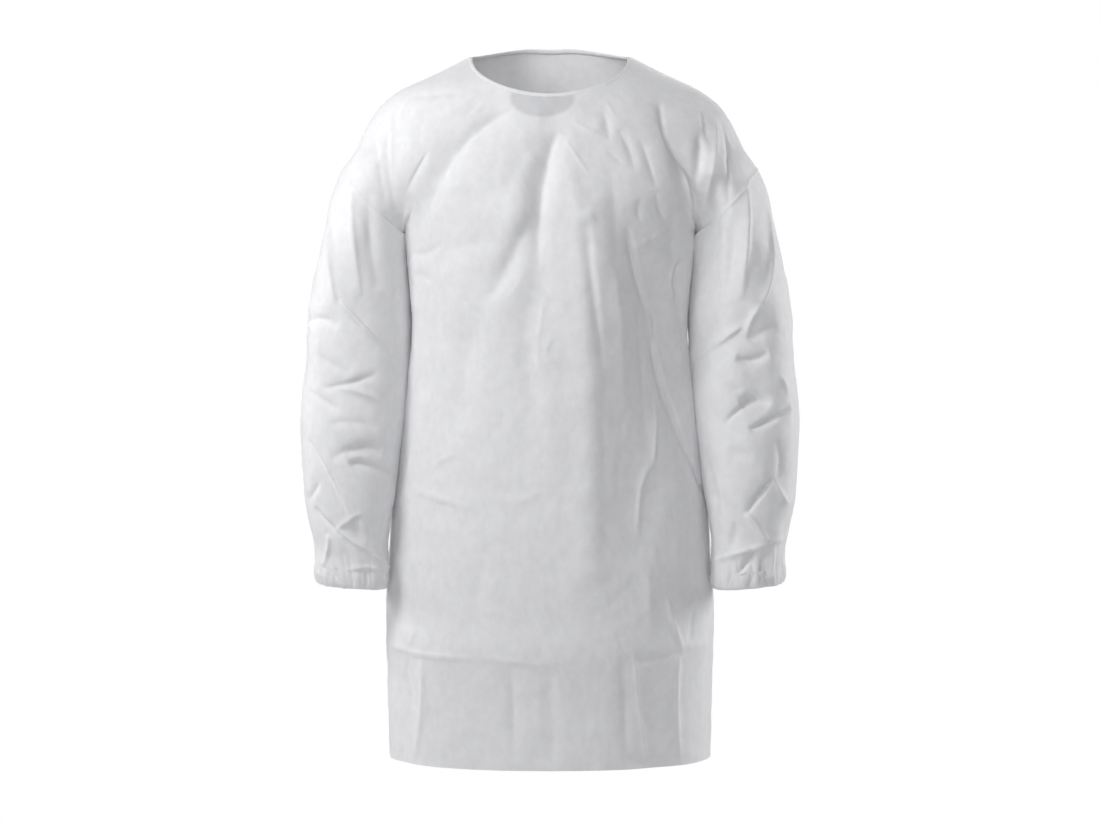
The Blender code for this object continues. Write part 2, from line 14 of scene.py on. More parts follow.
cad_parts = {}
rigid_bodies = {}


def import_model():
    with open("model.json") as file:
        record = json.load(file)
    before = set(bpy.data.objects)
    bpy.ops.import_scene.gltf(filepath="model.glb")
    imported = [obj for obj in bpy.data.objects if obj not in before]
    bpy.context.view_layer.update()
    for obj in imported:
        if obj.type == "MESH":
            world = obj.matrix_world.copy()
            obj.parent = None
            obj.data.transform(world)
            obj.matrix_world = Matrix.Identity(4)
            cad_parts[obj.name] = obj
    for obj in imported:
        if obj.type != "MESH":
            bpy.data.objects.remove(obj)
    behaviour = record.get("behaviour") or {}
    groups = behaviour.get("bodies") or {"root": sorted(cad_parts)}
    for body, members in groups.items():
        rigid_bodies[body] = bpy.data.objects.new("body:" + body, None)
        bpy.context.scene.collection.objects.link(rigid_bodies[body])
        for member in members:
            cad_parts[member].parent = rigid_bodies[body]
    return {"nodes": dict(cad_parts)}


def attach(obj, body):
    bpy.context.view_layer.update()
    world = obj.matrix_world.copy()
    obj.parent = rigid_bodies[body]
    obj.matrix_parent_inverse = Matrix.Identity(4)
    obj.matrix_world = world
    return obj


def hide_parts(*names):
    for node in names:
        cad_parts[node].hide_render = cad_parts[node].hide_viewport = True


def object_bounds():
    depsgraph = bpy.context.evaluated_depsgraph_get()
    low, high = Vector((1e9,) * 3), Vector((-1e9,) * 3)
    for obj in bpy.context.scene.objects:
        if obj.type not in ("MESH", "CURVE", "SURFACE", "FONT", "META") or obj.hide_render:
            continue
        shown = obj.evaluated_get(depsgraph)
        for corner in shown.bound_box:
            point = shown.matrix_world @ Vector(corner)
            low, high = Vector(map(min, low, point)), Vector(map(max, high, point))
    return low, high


for item in list(bpy.data.objects):
    bpy.data.objects.remove(item)
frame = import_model()
cad_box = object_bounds()


# The gown's cloth: two panels, two sleeves and the turned casings at the wrists, of spunbonded
# polypropylene cut flat and sewn edge to edge. It starts from the outer faces of the solids, sewn into
# one smooth surface, so that a fold can run over a seam.
WALL_EDGE = 0.0023
SEAM_REACH = 0.0012
CLOTH_PIECES = ("front", "back", "sleeve_left", "sleeve_right", "cuff_left", "cuff_right")
PANELS, SLEEVES, PANELS_AND_SLEEVES = slice(0, 2), slice(2, 4), slice(0, 4)
SLEEVE_AND_CUFF = ((2, 4), (3, 5))
SAME_POINT = 1e-5
NEARLY_FLAT = 3.1


def outer_face(node):
    """The outside of a node's wall, without its rims and its inner face; a cuff keeps its turned inside."""
    cloth = bmesh.new()
    cloth.from_mesh(frame["nodes"][node].data)
    bmesh.ops.remove_doubles(cloth, verts=cloth.verts, dist=SAME_POINT)
    rims = [face for face in cloth.faces if min(edge.calc_length() for edge in face.edges) < WALL_EDGE]
    bmesh.ops.delete(cloth, geom=rims, context="FACES")
    sheets, seen = [], set()
    for start in cloth.faces:
        if start in seen:
            continue
        sheet, edge_of = [], [start]
        seen.add(start)
        while edge_of:
            face = edge_of.pop()
            sheet.append(face)
            for near in (near for edge in face.edges for near in edge.link_faces if near not in seen):
                seen.add(near)
                edge_of.append(near)
        sheets.append(sheet)
    sheets.sort(key=lambda sheet: sum(face.calc_area() for face in sheet))
    bmesh.ops.delete(cloth, geom=[face for sheet in sheets[:-1] for face in sheet], context="FACES")
    bmesh.ops.join_triangles(
        cloth, faces=cloth.faces, angle_face_threshold=NEARLY_FLAT, angle_shape_threshold=NEARLY_FLAT
    )
    return cloth


sewn = bmesh.new()
for number, node in enumerate(CLOTH_PIECES):
    cloth = outer_face(node)
    for face in cloth.faces:
        face.material_index = number
        face.smooth = True
    part = bpy.data.meshes.new(node)
    cloth.to_mesh(part)
    cloth.free()
    sewn.from_mesh(part)
    bpy.data.meshes.remove(part)
edges = [vert for vert in sewn.verts if vert.is_boundary]
bmesh.ops.remove_doubles(sewn, verts=edges, dist=SEAM_REACH)
bmesh.ops.recalc_face_normals(sewn, faces=sewn.faces)
outwards = 0.0
for face in sewn.faces:
    if face.material_index < PANELS.stop:
        middle = face.calc_center_median()
        outwards += face.normal.dot(Vector((middle.x, middle.y, 0)))
if outwards < 0:
    bmesh.ops.reverse_faces(sewn, faces=sewn.faces)
sewn.faces.ensure_lookup_table()
lay_on = BVHTree.FromBMesh(sewn)
piece_of_face = [face.material_index for face in sewn.faces]
coarse = bpy.data.meshes.new("sewn")
sewn.to_mesh(coarse)
whole = bpy.data.objects.new("sewn", coarse)
bpy.context.scene.collection.objects.link(whole)
for name in CLOTH_PIECES:
    coarse.materials.append(None)
smooth = whole.modifiers.new("smooth", "SUBSURF")
smooth.levels = smooth.render_levels = 3
smooth.boundary_smooth = "PRESERVE_CORNERS"
whole_mesh = bpy.data.meshes.new_from_object(whole.evaluated_get(bpy.context.evaluated_depsgraph_get()))
bpy.data.objects.remove(whole)

points = np.empty(len(whole_mesh.vertices) * 3)
whole_mesh.vertices.foreach_get("co", points)
points = points.reshape(-1, 3)
normals = np.empty(len(points) * 3)
whole_mesh.vertex_normals.foreach_get("vector", normals)
normals = normals.reshape(-1, 3)
in_piece = np.zeros((len(CLOTH_PIECES), len(points)), bool)
for face in whole_mesh.polygons:
    in_piece[face.material_index, list(face.vertices)] = True
push = np.zeros(len(points))

# The sleeves lie against the trunk: each swells towards it, behind a fold down the trunk's side. In places
# its cloth goes a few millimetres past the trunk's.
HEIGHTS = (-0.650, -0.600, -0.500, -0.430, -0.380, -0.340, -0.300, -0.270, -0.240, -0.215, -0.185)
SLEEVE_SWELL = (0.0, 0.005, 0.007, 0.0105, 0.0125, 0.0125, 0.0125, 0.0115, 0.010, 0.007, 0.0)
SIDE_FOLD = (0.0, 0.0, 0.3, 1.0, 1.0, 1.0, 1.0, 1.0, 1.0, 0.7, 0.0)
SWELL_ROUND = 1.2
CREST_HEIGHT, CREST_Y, CREST_WIDTH = 0.0055, -0.052, 0.020
HOLLOW_DEPTH, HOLLOW_Y, HOLLOW_WIDTH = 0.0040, 0.004, 0.026
side = np.sign(points[:, 0])
_, back_along, height = points.T
swell = np.interp(height, HEIGHTS, SLEEVE_SWELL) * np.clip(-side * normals[:, 0], 0, 1) ** SWELL_ROUND
crest = CREST_HEIGHT * np.exp(-(((back_along - CREST_Y) / CREST_WIDTH) ** 2))
crest -= HOLLOW_DEPTH * np.exp(-(((back_along - HOLLOW_Y) / HOLLOW_WIDTH) ** 2))
crest *= np.interp(height, HEIGHTS, SIDE_FOLD) * np.clip(side * normals[:, 0], 0, 1)
points[:, 0] += side * np.where(in_piece[SLEEVES].any(axis=0), -swell, crest)

# Creases and folds of the cloth, in millimetres. Each runs from its start through its middle to its end
# in the front view; width is its half width, a positive depth is a trough and a negative one a ridge.
# sharp 1 is a crease pressed or pinched into the cloth and 0 a soft roll; lean makes one side steeper.
Crease = namedtuple("Crease", "x0 z0 x1 z1 x2 z2 width depth sharp lean")
FRONT_CREASES = (
    Crease(7, -98, -12, -164, -17, -261, 10, 6.5, 0.5, 0.2),
    Crease(-28, -192, -56, -252, -92, -311, 15, 6.5, 0.4, 0.0),
    Crease(-92, -311, -115, -381, -130, -481, 20, 5.0, 0.2, 0.0),
    Crease(-35, -60, -110, -111, -157, -197, 10, 4.5, 0.5, 0.2),
    Crease(-156, -120, -170, -142, -184, -169, 6, 2.5, 0.7, -0.3),
    Crease(-201, -70, -199, -109, -199, -154, 4, -1.8, 0.9, 0.3),
    Crease(-208, -98, -204, -144, -194, -200, 6, 3.0, 0.7, 0.0),
    Crease(-223, -99, -216, -138, -206, -188, 5, 2.0, 0.8, 0.0),
    Crease(-181, -246, -156, -244, -130, -229, 4, 2.0, 0.9, 0.3),
    Crease(-178, -269, -163, -273, -146, -280, 4, 1.4, 0.9, 0.3),
    Crease(41, -210, 51, -293, 63, -392, 13, 4.5, 0.4, 0.3),
    Crease(63, -392, 61, -504, 66, -640, 16, 3.0, 0.3, 0.1),
    Crease(-30, -287, -34, -362, -23, -448, 14, 3.0, 0.2, 0.0),
    Crease(-7, -301, -15, -343, -17, -395, 4, -1.2, 0.9, 0.0),
    Crease(2, -350, -3, -361, -7, -370, 3, -1.2, 1.0, 0.3),
    Crease(19, -106, 33, -128, 48, -149, 3, -1.0, 1.0, 0.2),
    Crease(63, -70, 69, -89, 71, -108, 6, 2.0, 0.6, 0.0),
    Crease(82, -95, 96, -118, 102, -148, 7, 2.2, 0.7, 0.0),
    Crease(111, -105, 123, -139, 130, -165, 7, 2.0, 0.7, 0.2),
    Crease(113, -180, 108, -192, 111, -209, 4, 2.2, 0.8, 0.0),
    Crease(130, -170, 135, -191, 145, -208, 5, 3.0, 0.8, 0.0),
    Crease(104, -237, 126, -229, 150, -217, 4, -2.0, 0.9, 0.4),
    Crease(121, -233, 147, -239, 176, -236, 6, 3.0, 0.8, 0.0),
    Crease(95, -217, 111, -275, 131, -331, 8, 6.0, 0.7, 0.5),
    Crease(131, -331, 146, -422, 179, -514, 8, 6.5, 0.8, 0.6),
    Crease(179, -514, 187, -535, 197, -556, 7, 4.0, 0.7, 0.3),
    Crease(124, -306, 140, -382, 154, -447, 5, -3.0, 0.9, 0.5),
    Crease(137, -60, 146, -107, 177, -154, 8, 5.0, 0.8, 0.3),
    Crease(183, -86, 182, -132, 174, -167, 7, 6.0, 0.7, 0.0),
    Crease(188, -66, 192, -86, 196, -109, 5, 3.0, 0.8, 0.0),
    Crease(206, -75, 205, -132, 186, -209, 5, -3.0, 0.9, 0.4),
    Crease(216, -80, 223, -132, 221, -199, 5, 3.0, 0.8, 0.3),
    Crease(163, -139, 175, -188, 173, -244, 6, -4.0, 0.9, 0.6),
    Crease(173, -244, 154, -271, 158, -307, 5, -3.0, 0.9, 0.6),
    Crease(136, -434, 135, -483, 130, -513, 4, -2.2, 1.0, 0.6),
    Crease(130, -513, 115, -538, 109, -600, 5, -2.2, 0.8, 0.5),
    Crease(104, -546, 127, -540, 155, -539, 4, 1.8, 0.9, 0.0),
    Crease(137, -518, 155, -522, 173, -530, 6, 2.0, 0.7, 0.0),
    Crease(-174, -541, -138, -552, -94, -562, 4, -2.0, 1.0, 0.3),
    Crease(-151, -519, -134, -502, -113, -496, 4, -1.8, 1.0, 0.3),
    Crease(-166, -423, -172, -483, -191, -560, 9, -3.0, 0.5, 0.0),
    Crease(-134, -244, -100, -232, -62, -229, 10, 1.5, 0.3, 0.0),
    Crease(74, -269, 84, -343, 89, -455, 10, -2.5, 0.4, 0.0),
    Crease(106, -306, 114, -381, 119, -493, 9, 2.0, 0.4, 0.0),
    Crease(-88, -628, -95, -666, -100, -728, 12, 2.0, 0.3, 0.0),
    Crease(119, -630, 121, -679, 124, -729, 8, -2.0, 0.5, 0.0),
    Crease(-211, -742, -157, -752, -94, -750, 4, -2.4, 0.9, -0.5),
    Crease(-94, -750, -56, -754, -7, -759, 4, -1.6, 0.9, -0.4),
    Crease(105, -750, 134, -750, 167, -742, 5, 3.5, 0.8, 0.3),
    Crease(167, -742, 186, -741, 210, -744, 4, -1.8, 0.9, -0.3),
    Crease(106, -743, 112, -798, 126, -891, 4, -2.6, 0.9, 0.5),
    Crease(148, -678, 156, -713, 169, -742, 5, -3.0, 0.8, 0.4),
    Crease(181, -681, 178, -709, 175, -738, 5, 2.5, 0.7, 0.0),
    Crease(164, -751, 161, -808, 168, -887, 5, -2.4, 0.8, 0.3),
    Crease(-166, -753, -165, -809, -177, -887, 8, -2.8, 0.5, 0.4),
    Crease(-170, -717, -177, -729, -182, -742, 4, -2.0, 0.9, 0.0),
    Crease(-185, -760, -180, -811, -180, -875, 5, 1.6, 0.7, 0.0),
    Crease(-53, -762, -49, -814, -48, -884, 9, 2.2, 0.4, 0.2),
    Crease(-7, -761, -3, -814, -1, -886, 10, 1.8, 0.3, 0.0),
    Crease(88, -758, 94, -816, 99, -912, 9, 3.0, 0.5, 0.0),
    Crease(-113, -44, -138, -46, -177, -48, 7, 1.6, 0.6, 0.0),
    Crease(-38, -120, -53, -151, -56, -176, 10, 1.5, 0.3, 0.0),
    Crease(12, -120, 27, -182, 30, -256, 12, -1.8, 0.3, 0.0),
    Crease(74, -158, 76, -195, 82, -244, 9, 1.8, 0.4, 0.0),
    Crease(-151, -344, -158, -395, -167, -433, 12, 2.0, 0.3, 0.0),
)
SLEEVE_RIGHT_CREASES = (
    Crease(-249, -164, -247, -231, -239, -301, 8, -3.0, 0.6, 0.3),
    Crease(-231, -169, -228, -231, -219, -294, 9, 2.5, 0.4, 0.0),
    Crease(-279, -201, -277, -256, -269, -312, 6, -3.0, 0.8, 0.5),
    Crease(-264, -306, -227, -348, -188, -393, 6, -4.0, 0.9, 0.5),
    Crease(-311, -333, -287, -328, -266, -339, 7, 4.0, 0.7, 0.0),
    Crease(-298, -372, -268, -389, -248, -396, 8, 2.0, 0.5, 0.0),
    Crease(-287, -412, -253, -406, -219, -394, 6, 3.0, 0.7, 0.4),
    Crease(-276, -414, -238, -419, -205, -438, 5, -2.6, 0.9, 0.4),
    Crease(-303, -420, -284, -432, -263, -442, 6, 3.0, 0.7, 0.0),
    Crease(-276, -461, -250, -456, -216, -464, 6, 1.8, 0.7, 0.0),
    Crease(-256, -496, -232, -488, -212, -494, 7, 5.0, 0.6, 0.0),
    Crease(-251, -509, -231, -507, -203, -524, 7, 4.5, 0.7, 0.5),
    Crease(-276, -500, -261, -494, -248, -487, 6, 2.0, 0.7, 0.0),
    Crease(-306, -480, -281, -519, -254, -574, 5, 3.0, 0.9, 0.4),
    Crease(-297, -565, -281, -582, -261, -601, 5, 2.5, 0.8, 0.3),
    Crease(-272, -594, -257, -581, -237, -570, 4, -2.6, 1.0, 0.3),
    Crease(-266, -591, -236, -614, -203, -645, 5, -3.6, 0.9, 0.5),
    Crease(-241, -575, -245, -591, -234, -608, 5, 3.2, 0.8, 0.0),
    Crease(-223, -580, -225, -597, -216, -616, 5, 2.0, 0.8, 0.0),
    Crease(-280, -597, -278, -615, -288, -641, 5, -2.5, 0.9, 0.4),
    Crease(-309, -559, -300, -545, -291, -532, 5, 2.0, 0.8, 0.0),
    Crease(-214, -397, -204, -415, -195, -433, 6, 2.0, 0.7, 0.0),
    Crease(-256, -642, -229, -639, -205, -645, 4, -1.8, 0.9, 0.3),
)
SLEEVE_LEFT_CREASES = (
    Crease(243, -154, 245, -225, 237, -306, 9, -3.5, 0.7, 0.4),
    Crease(225, -200, 221, -256, 215, -307, 10, 3.0, 0.4, 0.0),
    Crease(272, -187, 277, -259, 265, -311, 5, -3.0, 0.9, 0.5),
    Crease(265, -311, 253, -327, 244, -352, 5, -2.6, 0.9, 0.4),
    Crease(239, -337, 208, -365, 177, -396, 6, -4.5, 0.9, 0.5),
    Crease(234, -372, 252, -375, 273, -367, 8, 5.0, 0.6, 0.3),
    Crease(247, -354, 260, -344, 282, -334, 9, 3.0, 0.5, 0.0),
    Crease(238, -434, 257, -428, 275, -437, 8, 5.0, 0.6, 0.0),
    Crease(218, -457, 235, -439, 260, -427, 5, 3.0, 0.8, 0.4),
    Crease(242, -411, 232, -416, 222, -407, 6, 1.8, 0.6, 0.0),
    Crease(247, -463, 272, -451, 302, -436, 6, 5.0, 0.8, 0.5),
    Crease(281, -400, 292, -409, 298, -427, 5, -2.2, 0.9, 0.0),
    Crease(278, -530, 262, -549, 245, -572, 5, 4.0, 0.9, 0.5),
    Crease(278, -530, 290, -552, 300, -565, 5, -2.4, 0.9, 0.0),
    Crease(245, -572, 257, -584, 275, -608, 5, -2.8, 0.9, 0.4),
    Crease(280, -481, 287, -507, 281, -529, 6, 2.2, 0.7, 0.0),
    Crease(208, -631, 240, -618, 275, -608, 5, -3.0, 0.9, 0.4),
    Crease(275, -608, 283, -607, 293, -605, 4, -2.4, 0.9, 0.0),
    Crease(253, -623, 244, -636, 233, -649, 5, 4.0, 0.9, 0.3),
    Crease(230, -582, 229, -601, 225, -618, 6, 2.0, 0.7, 0.0),
    Crease(195, -485, 204, -534, 213, -583, 9, 2.4, 0.4, 0.0),
    Crease(199, -433, 194, -465, 196, -487, 6, 2.0, 0.7, 0.0),
    Crease(225, -488, 239, -496, 252, -493, 8, 1.8, 0.5, 0.0),
    Crease(265, -626, 264, -640, 265, -657, 4, 2.2, 0.8, 0.0),
    Crease(278, -613, 278, -633, 276, -655, 4, -2.0, 0.8, 0.0),
)
BACK_CREASES = (
    Crease(4, -20, -2, -260, 8, -560, 14, -4.0, 0.2, 0.0),
    Crease(-60, -60, -84, -190, -78, -330, 12, 5.0, 0.4, -0.2),
    Crease(-78, -330, -70, -470, -88, -640, 16, 4.0, 0.3, 0.0),
    Crease(66, -70, 92, -180, 88, -360, 12, 5.0, 0.4, 0.2),
    Crease(30, -180, 38, -330, 24, -520, 13, 3.0, 0.3, 0.0),
    Crease(-30, -240, -36, -400, -28, -600, 13, 3.0, 0.3, 0.0),
    Crease(120, -240, 132, -380, 124, -560, 13, -3.0, 0.3, 0.2),
    Crease(-128, -250, -140, -400, -130, -580, 12, -3.0, 0.3, -0.2),
    Crease(-150, -80, -168, -130, -184, -205, 8, 4.5, 0.7, -0.3),
    Crease(-176, -84, -190, -140, -194, -205, 6, 3.0, 0.7, 0.0),
    Crease(-206, -90, -206, -130, -200, -180, 5, -2.6, 0.9, 0.3),
    Crease(150, -84, 170, -130, 186, -200, 8, 5.0, 0.7, 0.3),
    Crease(182, -90, 192, -140, 194, -210, 6, 3.0, 0.7, 0.0),
    Crease(210, -96, 208, -140, 198, -190, 5, -2.6, 0.9, 0.3),
    Crease(-178, -240, -150, -262, -118, -268, 5, 2.4, 0.9, 0.3),
    Crease(-176, -262, -156, -290, -132, -330, 6, 2.6, 0.8, 0.3),
    Crease(178, -244, 150, -258, 120, -256, 5, 2.4, 0.9, -0.3),
    Crease(176, -270, 160, -300, 140, -352, 6, 3.0, 0.8, 0.3),
    Crease(-40, -45, -52, -90, -56, -140, 9, 2.0, 0.5, 0.0),
    Crease(46, -48, 54, -96, 50, -150, 9, 2.2, 0.5, 0.0),
    Crease(-150, -420, -110, -438, -70, -434, 5, 2.0, 0.9, 0.3),
    Crease(60, -520, 100, -532, 140, -520, 5, 2.0, 0.9, -0.3),
    Crease(-50, -560, -20, -572, 20, -566, 4, -1.6, 1.0, 0.3),
    Crease(96, -400, 104, -450, 98, -500, 5, -2.2, 0.9, 0.5),
    Crease(-204, -742, -110, -752, 4, -748, 4, -2.2, 0.9, -0.5),
    Crease(4, -748, 100, -756, 204, -742, 4, -1.8, 0.9, -0.4),
    Crease(-90, -752, -94, -820, -98, -892, 6, 2.6, 0.6, 0.2),
    Crease(30, -752, 34, -820, 38, -892, 10, 3.0, 0.4, 0.0),
    Crease(128, -750, 126, -820, 132, -892, 5, -2.6, 0.9, 0.4),
    Crease(-160, -750, -158, -820, -164, -892, 7, -2.2, 0.6, 0.0),
    Crease(-150, -600, -154, -660, -148, -735, 9, 2.4, 0.5, 0.0),
    Crease(150, -590, 146, -660, 152, -738, 9, -2.4, 0.5, 0.2),
    Crease(-212, -320, -240, -345, -262, -392, 6, -4.0, 0.9, 0.5),
    Crease(-286, -300, -270, -330, -250, -340, 7, 4.0, 0.6, 0.0),
    Crease(-292, -410, -262, -424, -226, -420, 7, 4.5, 0.7, 0.4),
    Crease(-230, -450, -255, -470, -288, -474, 6, 3.5, 0.8, 0.3),
    Crease(-226, -520, -252, -552, -290, -566, 5, 3.0, 0.9, 0.4),
    Crease(-240, -590, -262, -606, -286, -612, 5, -3.0, 0.9, 0.3),
    Crease(-236, -190, -238, -250, -244, -310, 9, -3.0, 0.5, 0.3),
    Crease(-262, -200, -264, -260, -268, -320, 7, 2.6, 0.6, 0.0),
    Crease(210, -330, 240, -350, 266, -400, 6, -4.2, 0.9, 0.5),
    Crease(290, -310, 270, -338, 244, -352, 7, 4.5, 0.6, 0.0),
    Crease(294, -430, 262, -440, 224, -432, 7, 4.5, 0.7, 0.4),
    Crease(222, -470, 250, -490, 290, -492, 6, 3.5, 0.8, 0.3),
    Crease(228, -540, 256, -566, 288, -574, 5, 3.2, 0.9, 0.4),
    Crease(236, -596, 262, -612, 288, -616, 5, -3.0, 0.9, 0.3),
    Crease(238, -190, 240, -250, 246, -310, 9, -3.2, 0.5, 0.3),
)
# Wide planes that the front falls into, between the narrow folds.
BROAD_FOLDS = (
    Crease(116, -180, 112, -400, 108, -640, 34, 8, 0.0, 0.0),
    Crease(34, -160, 45, -290, 40, -430, 18, -4.0, 0.0, 0.0),
    Crease(42, -400, 56, -520, 50, -650, 22, -3.5, 0.0, 0.0),
    Crease(-18, -330, -8, -480, -16, -640, 20, -2.5, 0.0, 0.0),
    Crease(150, -190, 158, -300, 170, -420, 14, 4.0, 0.3, 0.2),
    Crease(200, -150, 198, -240, 202, -370, 15, 13.0, 0.2, 0.0),
    Crease(-120, -150, -132, -330, -150, -560, 30, -3.0, 0.0, 0.0),
    Crease(-150, -800, 0, -812, 150, -800, 45, 3.0, 0.0, 0.0),
)
BEND_STEPS = 12
# The lines above follow each crease's shaded or lit side; its bottom or crest is this share of its width
# further from the light, which comes from the upper left.
PAST_SHADE = 0.55
FROM_LIGHT = Vector((0.83, -0.55))
WELL_OUTSIDE, NEAR_CLOTH = 1.0, 0.05


def past_shade(crease):
    """A crease's start, middle and end, in metres, moved from its shaded side to its bottom or crest."""
    x0, z0, x1, z1, x2, z2 = (value / 1000 for value in crease[:6])
    sideways = Vector((x2 - x0, z2 - z0)).orthogonal().normalized()
    move = sideways * sideways.dot(FROM_LIGHT) * crease.width / 1000 * PAST_SHADE
    return [value + (move.x, move.y)[k % 2] for k, value in enumerate((x0, z0, x1, z1, x2, z2))]


def crease_line(ends, facing):
    """A crease's line laid on the cloth, seen from the front or the back, and the pieces it crosses."""
    x0, z0, x1, z1, x2, z2 = ends
    line, crossed = [], set()
    for step in range(BEND_STEPS + 1):
        t = step / BEND_STEPS
        bend_x, bend_z = 2 * x1 - (x0 + x2) / 2, 2 * z1 - (z0 + z2) / 2
        x = (1 - t) ** 2 * x0 + 2 * t * (1 - t) * bend_x + t * t * x2
        z = (1 - t) ** 2 * z0 + 2 * t * (1 - t) * bend_z + t * t * z2
        place, _, face, _ = lay_on.ray_cast(Vector((x, facing * WELL_OUTSIDE, z)), Vector((0, -facing, 0)))
        if place is None:
            place, _, face, _ = lay_on.find_nearest(Vector((x, facing * NEAR_CLOTH, z)))
        line.append(place[:])
        crossed.add(piece_of_face[face])
    return np.array(line), crossed


# How far a crease reaches, in half widths, and how its pinched form, its ends and its lean are drawn.
REACH = 3.2
PINCH, PINCH_ROUND, PINCH_TOP = 1.5, 0.06, 0.245
END_TAPER = 0.6
LEAN_CHANGE = 3


def press(line, crossed, width, depth, sharp, lean):
    """Pushes the cloth in along a line, most in the line's middle."""
    reach = REACH * width
    inside = np.all((points > line.min(axis=0) - reach) & (points < line.max(axis=0) + reach), axis=1)
    inside &= in_piece[sorted(crossed)].any(axis=0)
    near = np.flatnonzero(inside)
    if not len(near):
        return
    place = points[near]
    best = np.full(len(near), np.inf)
    along, side = np.zeros(len(near)), np.zeros(len(near))
    for k in range(len(line) - 1):
        run = line[k + 1] - line[k]
        length = max(np.linalg.norm(run), 1e-6)
        share = np.clip((place - line[k]) @ run / length**2, 0, 1)
        away = place - (line[k] + share[:, None] * run)
        distance = np.linalg.norm(away, axis=1)
        across = np.cross(run / length, normals[near])
        closer = distance < best
        best = np.where(closer, distance, best)
        along = np.where(closer, (k + share) / (len(line) - 1), along)
        side = np.where(closer, (away * across).sum(axis=1), side)
    far = best / width
    soft = np.exp(-(far**2))
    pinched = np.exp(-PINCH * (np.sqrt(far**2 + PINCH_ROUND) - PINCH_TOP))
    shape = sharp * pinched + (1 - sharp) * soft
    fade = np.sin(math.pi * np.clip(along, 0, 1)) ** END_TAPER
    push[near] += depth * fade * shape * (1 + lean * np.tanh(LEAN_CHANGE * side / width))


MORE_LEAN, MOST_LEAN = 1.6, 0.95
for facing, deeper, creases in (
    (-1, 1.0, BROAD_FOLDS),
    (-1, 1.1, FRONT_CREASES),
    (-1, 1.5, SLEEVE_RIGHT_CREASES),
    (-1, 1.5, SLEEVE_LEFT_CREASES),
    (1, 1.2, BACK_CREASES),
):
    for crease in creases:
        line, crossed = crease_line(past_shade(crease), facing)
        lean = max(-MOST_LEAN, min(MOST_LEAN, MORE_LEAN * crease.lean))
        press(line, crossed, crease.width / 1000, crease.depth * deeper / 1000, crease.sharp, lean)

# Small creases all over, as the cloth keeps them from its folded pack, and the gathers above each casing.
SMALL_CREASES = 420
PLAIN_ABOVE = -0.06
STEEP = 0.3
TURNS = (0.0, 0.0, 1.3, -1.1, 0.6, -0.6)
chance = random.Random(11)
areas = np.cumsum([face.calc_area() for face in sewn.faces])
for _ in range(SMALL_CREASES):
    face = sewn.faces[int(np.searchsorted(areas, chance.random() * areas[-1]))]
    start, up = face.calc_center_median(), Vector((0, 0, 1))
    across = up.cross(face.normal)
    if across.length < STEEP or start.z > PLAIN_ABOVE:
        continue
    turn = chance.choice(TURNS) + chance.gauss(0, 0.25)
    heading = (up * math.cos(turn) + across.normalized() * math.sin(turn)).normalized()
    half = chance.uniform(0.008, 0.034)
    bend = face.normal.cross(heading) * chance.uniform(-0.2, 0.2) * half
    line = []
    for t in np.linspace(-1, 1, 7):
        line.append(lay_on.find_nearest(start + heading * half * t + bend * (1 - t * t))[0][:])
    depth = chance.choice((-1, 1)) * chance.uniform(0.00025, 0.0011)
    width = chance.uniform(0.0025, 0.007)
    press(np.array(line), {face.material_index}, width, depth, 0.8, chance.uniform(-0.4, 0.4))

CASING_GATHERS = 34
CASING_FOOT, CASING_HEAD = -0.6665, -0.652
INSIDE_EDGE = 0.19
WRIST_Z, FORWARD = -0.66, 0.10
GATHER_RUN = 0.04
for sleeve, cuff in SLEEVE_AND_CUFF:
    ring = [face.calc_center_median() for face in sewn.faces if face.material_index == cuff]
    middle = sum(ring, Vector()) / len(ring)
    for number in range(CASING_GATHERS):
        turn = 2 * math.pi * (number + chance.uniform(-0.35, 0.35)) / CASING_GATHERS
        out = Vector((math.cos(turn), math.sin(turn), 0))
        rise = CASING_HEAD + chance.uniform(0.012, 0.052) * chance.random() ** 0.5
        lean_to = chance.uniform(-0.2, 0.2)
        line = []
        for z in np.linspace(CASING_FOOT, rise, 8):
            swing = Matrix.Rotation(lean_to * (z - CASING_FOOT) / GATHER_RUN, 3, "Z") @ out
            centre = Vector((middle.x, middle.y + FORWARD * max(z - WRIST_Z, 0), z))
            place, _, face, _ = lay_on.ray_cast(centre + swing * 0.2, -swing)
            if place is not None and abs(place.x) > INSIDE_EDGE:
                line.append(place[:])
        if len(line) > 3:
            depth = chance.uniform(0.0010, 0.0026)
            press(np.array(line), {sleeve, cuff}, chance.uniform(0.0016, 0.0028), depth, 0.6, 0.0)

# The cloth lies flatter along the neck edge, where the binding holds it, and its seams stand out a little.
NECK_FOOT = -0.06
neck_edge = [vert.co for vert in sewn.verts if vert.is_boundary and vert.co.z > NECK_FOOT]
near_neck = kdtree.KDTree(len(neck_edge))
for number, place in enumerate(neck_edge):
    near_neck.insert(place, number)
near_neck.balance()
NECK_HELD, NECK_HOLD = 0.004, 0.030
for number in np.flatnonzero(points[:, 2] > -0.10):
    distance = near_neck.find(points[number])[2]
    push[number] *= min(max((distance - NECK_HELD) / NECK_HOLD, 0), 1)
RUMPLES = ((38, 0.0011), (95, 0.00035))
PRESSED_DEEP = 0.02
for number in np.flatnonzero(np.abs(push) < PRESSED_DEEP):
    place = Vector(points[number])
    rumple = sum(noise.noise(place * scale) * rise for scale, rise in RUMPLES)
    push[number] += rumple * min(1, max(0.0, place.z / NECK_FOOT))
MOST_OUT, MOST_IN = -0.007, 0.013
push = np.clip(push, MOST_OUT, MOST_IN)
